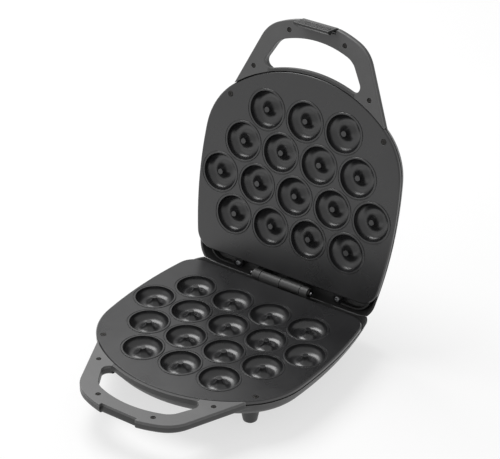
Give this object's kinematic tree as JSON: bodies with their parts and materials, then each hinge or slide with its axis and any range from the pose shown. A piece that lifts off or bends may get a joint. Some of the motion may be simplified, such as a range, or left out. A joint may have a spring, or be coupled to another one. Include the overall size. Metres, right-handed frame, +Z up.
{
  "type": "donut maker",
  "caption": "Table-top electric donut maker: a base and a hinged lid with ring-mould plates, loop handles and a swinging front latch, shown open.",
  "frame": {"origin": "centre of the bounding box at the floor, lid open", "axes": "+X to the right seen from the handles, -Y to the front where the handles are, +Z up"},
  "size_m": [0.257, 0.3744, 0.3461],
  "materials": {
    "casing_plastic": "black moulded phenolic with a fine matt grain",
    "handle_cover": "black moulded plastic, satin",
    "mould_plate": "cast, with a dark grey semi-gloss non-stick coating",
    "screw_steel": "blackened zinc plate",
    "pin_steel": "plain drawn wire",
    "element_tube": "heat-dulled steel sheath",
    "sheet_steel": "zinc-coated sheet",
    "thermostat_body": "brown phenolic",
    "fuse_sleeve": "woven glass sleeve",
    "terminal_body": "white ceramic",
    "lead_sleeve": "silicone sleeve",
    "pad_rubber": "soft black rubber",
    "gland_rubber": "black rubber bush",
    "red_lens": "clear red, polished",
    "green_lens": "clear green, polished",
    "lamp_glass": "small glass lamp",
    "latch_plastic": "black moulded plastic, satin"
  },
  "bodies": {
    "base": {"lower_plate": "mould_plate", "lower_plate_screws": "screw_steel", "lower_tab_screws": "screw_steel", "lower_handle_cover": "handle_cover", "lower_handle_screws": "screw_steel", "lower_heating_element": "element_tube", "lower_element_saddles": "sheet_steel", "lower_heat_shield": "sheet_steel", "lower_shield_screws": "screw_steel", "lower_thermostat": "thermostat_body", "lower_thermal_fuse": "fuse_sleeve", "lower_terminal_block": "terminal_body", "lower_element_leads": "lead_sleeve", "lower_casing": "casing_plastic", "feet": "casing_plastic", "foot_pads": "pad_rubber", "foot_screws": "screw_steel", "cord_gland": "gland_rubber", "mains_leads": "lead_sleeve", "hinge_pin": "pin_steel", "hinge_pin_caps": "pin_steel"},
    "lid": {"upper_plate": "mould_plate", "upper_plate_screws": "screw_steel", "upper_tab_screws": "screw_steel", "upper_handle_cover": "handle_cover", "upper_handle_screws": "screw_steel", "upper_heating_element": "element_tube", "upper_element_saddles": "sheet_steel", "upper_heat_shield": "sheet_steel", "upper_shield_screws": "screw_steel", "upper_thermostat": "thermostat_body", "upper_thermal_fuse": "fuse_sleeve", "upper_terminal_block": "terminal_body", "upper_element_leads": "lead_sleeve", "upper_casing": "casing_plastic", "power_lamp_lens": "red_lens", "ready_lamp_lens": "green_lens", "indicator_lamps": "lamp_glass", "latch_pin": "pin_steel"},
    "latch": {"latch": "latch_plastic"}
  },
  "joints": [
    {"name": "lid_hinge", "type": "hinge", "parent": "base", "child": "lid", "pos_m": [0, 0.11416, 0.0475], "axis": [1, 0, 0], "range_deg": [0, 101.9]},
    {"name": "latch_pivot", "type": "hinge", "parent": "lid", "child": "latch", "pos_m": [0, 0.18194, 0.33909], "axis": [-1, 0, 0], "range_deg": [0, 25]}
  ]
}
